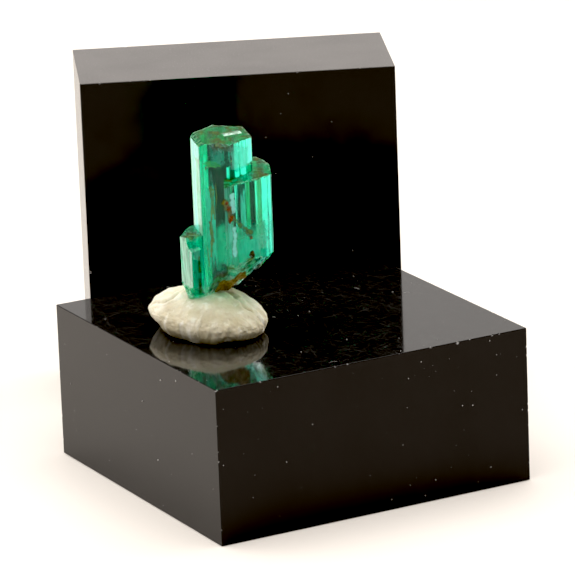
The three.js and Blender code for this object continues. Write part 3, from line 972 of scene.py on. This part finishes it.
def putty():
    v, f = icosphere(7)
    e, g, z = v[:, 0] * 6.53, v[:, 1] * 5.0, v[:, 2] * 2.68
    W = np.outer(e, PUTTY_E) + np.outer(g, PUTTY_F)
    u, w = W @ R_AX, W @ A_AX
    nrm = np.stack([v[:, 0] / 6.53, v[:, 1] / 5.0, v[:, 2] / 2.68], -1)
    nrm /= np.linalg.norm(nrm, axis=1)[:, None]
    nw = np.outer(nrm[:, 0], PUTTY_E) + np.outer(nrm[:, 1], PUTTY_F) + np.outer(nrm[:, 2], Z_AX)
    up = np.clip(v[:, 2] + 0.45, 0, 1)
    d = 0.20 * N1.fbm(u * 0.33, w * 0.33, z * 0.33, 3) + 0.05 * N2.fbm(u * 1.1, w * 1.1, z * 1.1, 3)
    # folded-over lips: a groove with a raised rim beside it
    wu, ww = u + 0.22 * N2(u * 1.3, w * 1.3, 3.0), w + 0.22 * N3(u * 1.3, w * 1.3, 7.0)
    left = poly_dist(wu, ww, [(-5.2, 0.55), (-4.46, -0.12), (-3.67, -0.79), (-2.99, -0.43), (-2.3, 0.2)])
    right = poly_dist(wu, ww, [(1.6, -0.4), (2.22, -1.0), (2.87, -1.81), (3.54, -3.0), (4.44, -3.27), (4.83, -3.65), (5.3, -3.3)])
    fold = np.exp(-(left / 0.16) ** 2) * (v[:, 2] > 0) + 0.8 * np.exp(-(right / 0.15) ** 2) * (v[:, 2] > -0.2)
    lip = np.exp(-((left - 0.42) / 0.26) ** 2) + np.exp(-((right - 0.42) / 0.28) ** 2)
    fold = fold * np.clip(0.65 + 0.9 * N4(u * 1.1, w * 1.1, 2.0), 0.1, 1.1)
    d = d - 0.26 * fold + 0.17 * lip * up
    d = d + 0.045 * N3.fbm(u * 2.1, w * 2.1, z * 2.1, 3)
    # pinch ridges down the front
    ang = np.arctan2(g / 5.0, e / 6.53)
    front = np.clip(-(w) / 4.0, 0, 1)
    rib = np.abs(np.sin(ang * 14 + 2.2 * N3(u * 0.6, w * 0.6, z * 0.3)))
    d = d + front * 0.085 * (1 - rib) ** 3 * np.clip(1.3 - np.abs(v[:, 2] - 0.05) * 1.3, 0, 1)
    d = d + 0.018 * N4.fbm(u * 4.5, w * 4.5, z * 4.5, 3)
    P = W + np.outer(z, Z_AX) + nw * d[:, None]
    P[:, 2] += 1.21
    P[:, 2] += 0.17 * np.clip(-u - 1.0, 0, 9) * ease((0.55 - v[:, 2]) / 0.9) - 0.11 * np.clip(u - 0.5, 0, 9) * ease((v[:, 2] + 0.2) / 0.6)
    # flat where it is pressed on the block
    low = P[:, 2] < 0.06
    P[low, 2] = 0.012 + 0.2 * np.clip(P[low, 2] + 0.3, 0, 0.1)
    P += PUTTY_C
    ob = new_object("mounting_putty", P * MM, f)
    # painted shade mask: fold grooves, a band near the foot at the front, and the front of the lump
    vert_attr(ob.data, "painted_shade", np.clip(fold + 0.35 * np.exp(-((P[:, 2] - 15.25) / 0.5) ** 2) * front
                                         + (0.66 + 0.35 * N1(u * 0.7, w * 0.7, 6.0)) * ease((-w - 0.1) / 2.4), 0, 1))
    # painted green light mask: where light through the emerald would fall on the putty
    vert_attr(ob.data, "painted_green_light", np.exp(-((u - 1.4) / 2.0) ** 2 - ((w + 1.6) / 1.6) ** 2) * up)
    ob.data.materials.append(putty_mat())
    return ob


# ------------------------------------------------------------------ dust, lint
def on_base_top(rs, n):
    return np.c_[rs.uniform(-16, 16, n), rs.uniform(-16, 16, n), np.full(n, 15.0)]


def dust():
    rs = np.random.RandomState(404)
    parts = []

    def speck(c, r, flat=(1, 1, 1)):
        v, f = ICO1
        k = 1 + 0.3 * rs.normal(size=len(v)).clip(-1, 1)
        parts.append((v * k[:, None] * r * np.array(flat) + np.asarray(c), f))

    pc = PUTTY_C
    for c in on_base_top(rs, 170):
        if np.hypot(*(c[:2] - pc[:2])) < 5.0:
            continue
        r = 0.010 + 0.045 * rs.rand() ** 5
        speck(c + [0, 0, r * 0.5], r)
    for i in range(70):                                        # front face
        r = 0.012 + 0.05 * rs.rand() ** 4
        speck((rs.uniform(-16, 16), -BASE_D / 2 - r * 0.3, rs.uniform(0.6, 14.5)), r)
    for i in range(60):                                        # left face
        r = 0.012 + 0.05 * rs.rand() ** 4
        speck((-BASE_W / 2 - r * 0.3, rs.uniform(-16, 16), rs.uniform(0.6, 14.5)), r)
    ct, st = math.cos(BACK_TURN), math.sin(BACK_TURN)
    for i in range(70):                                        # back block, front face
        a, z, r = rs.uniform(0.5, BACK_W - 0.5), rs.uniform(1, BACK_H - 0.5), 0.010 + 0.035 * rs.rand() ** 4
        speck((BACK_CORNER[0] + a * ct + 0.3 * r * st, BACK_CORNER[1] + a * st - 0.3 * r * ct, z), r)
    for i in range(7):                                        # lint
        c = on_base_top(rs, 1)[0]
        if np.hypot(*(c[:2] - pc[:2])) < 6.0:
            continue
        L, a, bend = rs.uniform(0.3, 1.1), rs.uniform(0, 6.28), rs.normal() * 1.2
        t = np.linspace(0, 1, 9)
        th = a + bend * t
        x = c[0] + np.cumsum(np.cos(th)) * L / 9
        y = c[1] + np.cumsum(np.sin(th)) * L / 9
        z = 15.012 + 0.03 * np.sin(t * 3.14) * rs.rand()
        ring = []
        for i in range(9):
            nrm = np.array([-math.sin(th[i]), math.cos(th[i]), 0])
            for k in range(4):
                b = k * math.pi / 2
                ring.append(np.array([x[i], y[i], z[i]]) + 0.009 * (math.cos(b) * nrm + math.sin(b) * Z_AX))
        fc = [(i * 4 + k, i * 4 + (k + 1) % 4, (i + 1) * 4 + (k + 1) % 4, (i + 1) * 4 + k) for i in range(8) for k in range(4)]
        fc += [(3, 2, 1, 0), (32, 33, 34, 35)]
        parts.append((np.array(ring), fc))
    ob = join_meshes("dust_and_lint", parts)
    set_verts(ob.data, verts_of(ob.data) * MM)
    ob.data.materials.append(dust_mat())
    return ob


# ------------------------------------------------------------------ camera, light, floor
def look(name, pos, target):
    d = (Vector(target) - Vector(pos)).normalized()
    return d.to_track_quat("-Z", "Y").to_euler()


def camera():
    cam = bpy.data.cameras.new("camera")
    cam.sensor_fit = "HORIZONTAL"
    cam.sensor_width = 36.0
    cam.lens = 321.065
    cam.clip_start, cam.clip_end = 0.01, 20.0
    ob = bpy.data.objects.new("camera", cam)
    right = (0.87663341, -0.47977514, -0.03646479)
    up = (0.16886886, 0.23581631, 0.95701305)
    fwd = (0.45055208, 0.84510738, -0.28774354)
    m = Matrix.Identity(4)
    for i in range(3):
        m[i][0], m[i][1], m[i][2] = right[i], up[i], -fwd[i]
    m.translation = Vector((-218.69062708, -410.28500575, 157.51535624)) * MM
    ob.matrix_world = m
    scene.collection.objects.link(ob)
    scene.camera = ob


def area(name, pos, target, sx, sy, radiance, color=(1, 1, 1)):
    li = bpy.data.lights.new(name, "AREA")
    li.shape = "RECTANGLE"
    li.size, li.size_y = sx, sy
    li.energy = radiance * math.pi * sx * sy
    li.color = color
    ob = bpy.data.objects.new(name, li)
    ob.location = pos
    ob.rotation_euler = look(name, pos, target)
    scene.collection.objects.link(ob)
    ob.visible_camera = False
    return ob


def rel(r, a, z):
    """Point by right, away and up from the specimen, seen from the camera (metres)."""
    p = np.array([-0.007, 0.0, 0.0]) + r * R_AX + a * A_AX + z * Z_AX
    return tuple(p)


def lights():
    warm = (1.0, 0.965, 0.93)
    area("overhead", rel(-0.05, 0.0, 0.50), rel(-0.03, 0.0, 0.0), 0.84, 0.80, 2.40, warm)
    area("left_wall", rel(-0.45, 0.20, 0.20), rel(0.0, 0.0, 0.03), 0.30, 0.30, 1.5, warm)
    area("right_wall", rel(0.45, 0.16, 0.15), rel(0.0, 0.0, 0.03), 0.30, 0.30, 2.2, warm)
    w = bpy.data.worlds.new("studio")
    scene.world = w
    w.use_nodes = True
    nt = w.node_tree
    nt.nodes.clear()
    out = nt.nodes.new("ShaderNodeOutputWorld")
    tc = nt.nodes.new("ShaderNodeTexCoord")
    dot = nt.nodes.new("ShaderNodeVectorMath")
    dot.operation = "DOT_PRODUCT"
    dot.inputs[1].default_value = tuple(-A_AX)
    nt.links.new(tc.outputs["Generated"], dot.inputs[0])
    mr = nt.nodes.new("ShaderNodeMapRange")
    mr.interpolation_type = "SMOOTHSTEP"
    mr.inputs["From Min"].default_value = -0.25
    mr.inputs["From Max"].default_value = 0.75
    nt.links.new(dot.outputs["Value"], mr.inputs["Value"])
    mx = nt.nodes.new("ShaderNodeMix")
    mx.data_type = "RGBA"
    mx.inputs[6].default_value = (0.95, 0.90, 0.86, 1)
    mx.inputs[7].default_value = (0.26, 0.25, 0.24, 1)
    nt.links.new(mr.outputs[0], mx.inputs[0])
    sep = nt.nodes.new("ShaderNodeSeparateXYZ")
    nt.links.new(tc.outputs["Generated"], sep.inputs[0])
    up = nt.nodes.new("ShaderNodeMapRange")
    up.interpolation_type = "SMOOTHSTEP"
    up.inputs["From Min"].default_value = 0.29
    up.inputs["From Max"].default_value = 0.40
    up.inputs["To Min"].default_value = 1.0
    up.inputs["To Max"].default_value = 0.42
    nt.links.new(sep.outputs["Z"], up.inputs["Value"])
    bg = nt.nodes.new("ShaderNodeBackground")
    nt.links.new(mx.outputs[2], bg.inputs["Color"])
    nt.links.new(up.outputs[0], bg.inputs["Strength"])
    pale = nt.nodes.new("ShaderNodeBackground")
    pale.inputs["Color"].default_value = (0.95, 0.93, 0.90, 1)
    lp = nt.nodes.new("ShaderNodeLightPath")
    ms = nt.nodes.new("ShaderNodeMixShader")
    nt.links.new(lp.outputs["Is Camera Ray"], ms.inputs[0])
    nt.links.new(bg.outputs[0], ms.inputs[1])
    nt.links.new(pale.outputs[0], ms.inputs[2])
    nt.links.new(ms.outputs[0], out.inputs["Surface"])


def floor():
    s = 3.0
    ob = new_object("table_top", [(-s, -s, -0.00004), (s, -s, -0.00004), (s, s, -0.00004), (-s, s, -0.00004)], [(0, 1, 2, 3)])
    ob.data.materials.append(floor_mat())


def settings():
    c = scene.cycles
    c.max_bounces = 28
    c.transmission_bounces = 24
    c.glossy_bounces = 20
    c.diffuse_bounces = 4
    c.transparent_max_bounces = 24
    c.caustics_refractive = True
    c.caustics_reflective = True
    c.blur_glossy = 0.3
    c.sample_clamp_indirect = 8.0
    c.use_denoising = True
    vs = scene.view_settings
    vs.view_transform = "Standard"
    vs.look = "None"
    vs.exposure = 0.0
    vs.gamma = 1.0
    # contrasty product-photo tone: the darkest tones fall to black
    vs.use_curve_mapping = True
    vs.curve_mapping.black_level = (0.030, 0.030, 0.030)
    vs.curve_mapping.update()


# ------------------------------------------------------------------ make it
camera()
lights()
floor()
settings()

POL = acrylic_polished("black_acrylic_polished", 0.045, 0.085, 0.40, 0.9, 0.0318)
POL_BACK = acrylic_polished("black_acrylic_handled", 0.09, 0.20, 0.35, 0.0, 0.004)
SAWN = acrylic_sawn("black_acrylic_sawn", (0.0095, 0.0088, 0.0088), 0.14)
SAWN_BACK = acrylic_sawn("black_acrylic_sawn_top", (0.14, 0.132, 0.127), 0.22)
CHIP = acrylic_chip()

base_place = np.eye(4)
ct, st = math.cos(BACK_TURN), math.sin(BACK_TURN)
ctr = BACK_CORNER + np.array([BACK_W / 2 * ct - BACK_T / 2 * st, BACK_W / 2 * st + BACK_T / 2 * ct, 0.0])
back_place = np.array([[ct, -st, 0, ctr[0]], [st, ct, 0, ctr[1]], [0, 0, 1, 0], [0, 0, 0, 1.0]])

chips_a = edge_chips(BASE_W, BASE_D, BASE_H, 3, 60, [((-BASE_W / 2, -BASE_D / 2, BASE_H), 0.22)])
chips_b = edge_chips(BACK_W, BACK_T, BACK_H, 4, 36)
base = block("base_block_body", BASE_W, BASE_D, BASE_H, 2, base_place, 21, chips_a, [POL, SAWN, CHIP])
back = block("back_block_body", BACK_W, BACK_T, BACK_H, 1, back_place, 22, chips_b, [POL_BACK, SAWN_BACK, CHIP])
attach(base, "root"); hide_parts("base_block")
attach(back, "root"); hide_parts("back_block")

gem = emerald()
gem.name = "emerald_body"
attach(gem, "root"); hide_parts("emerald_crystals")

for ob, mat, slot in (
        (rust_grains(), grain_mat("iron_oxide", (0.05, 0.008, 0.001), (0.24, 0.050, 0.004), (0.42, 0.15, 0.02)), "matrix"),
        (dark_grains(), grain_mat("dark_mineral", (0.010, 0.008, 0.004), (0.05, 0.04, 0.012), (0.20, 0.14, 0.03)), "matrix"),
        (crack_sheet(), film_mat("stained_crack", (0.15, 0.095, 0.006), (0.44, 0.38, 0.06), 0.45, 1.3), "matrix"),
        (vein_sheets(), film_mat("healed_vein", (0.20, 0.16, 0.020), (0.52, 0.52, 0.15), 0.45, 1.1, (3000, 3000, 500), 0.2), "matrix"),
        (parting_film(), film_mat("parting", (0.46, 0.40, 0.09), (0.62, 0.60, 0.20), 0.80, 1.0), "matrix"),
        (haze_sheets("milky_planes", 55, DEEP_PLANES), film_mat("milky", (0.55, 0.93, 0.86), (0.95, 0.99, 0.98), 0.75, 1.2, (2600, 2600, 330), 0.22), "emerald"),
        (haze_sheets("near_milky_planes", 56, NEAR_PLANES), film_mat("milky_green", (0.10, 0.82, 0.62), (0.38, 1.0, 0.90), 0.55, 1.2, (2600, 2600, 330), 0.10), "emerald"),
        # painted reflection: these bright films stand in for internally reflected light
        (bright_strips(), film_mat("bright_film_painted_reflection", (0.40, 1.0, 0.98), (0.60, 1.0, 1.0), 1.0, 1.1, (2600, 2600, 500), 0.05), "emerald"),
        (veil_sheets(), film_mat("veil", (0.10, 0.42, 0.30), (0.40, 0.88, 0.72), 0.0, 0.40), "emerald")):
    place_crystal(ob)
    ob.data.materials.append(mat)
    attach(ob, "root")

rock_skin = crust()
rock_skin.name = "matrix_crust_body"
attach(rock_skin, "root"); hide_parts("matrix_crust")

lump = putty()
lump.name = "mounting_putty_body"
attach(lump, "root"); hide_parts("mounting_putty")

lint = dust()
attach(lint, "root")
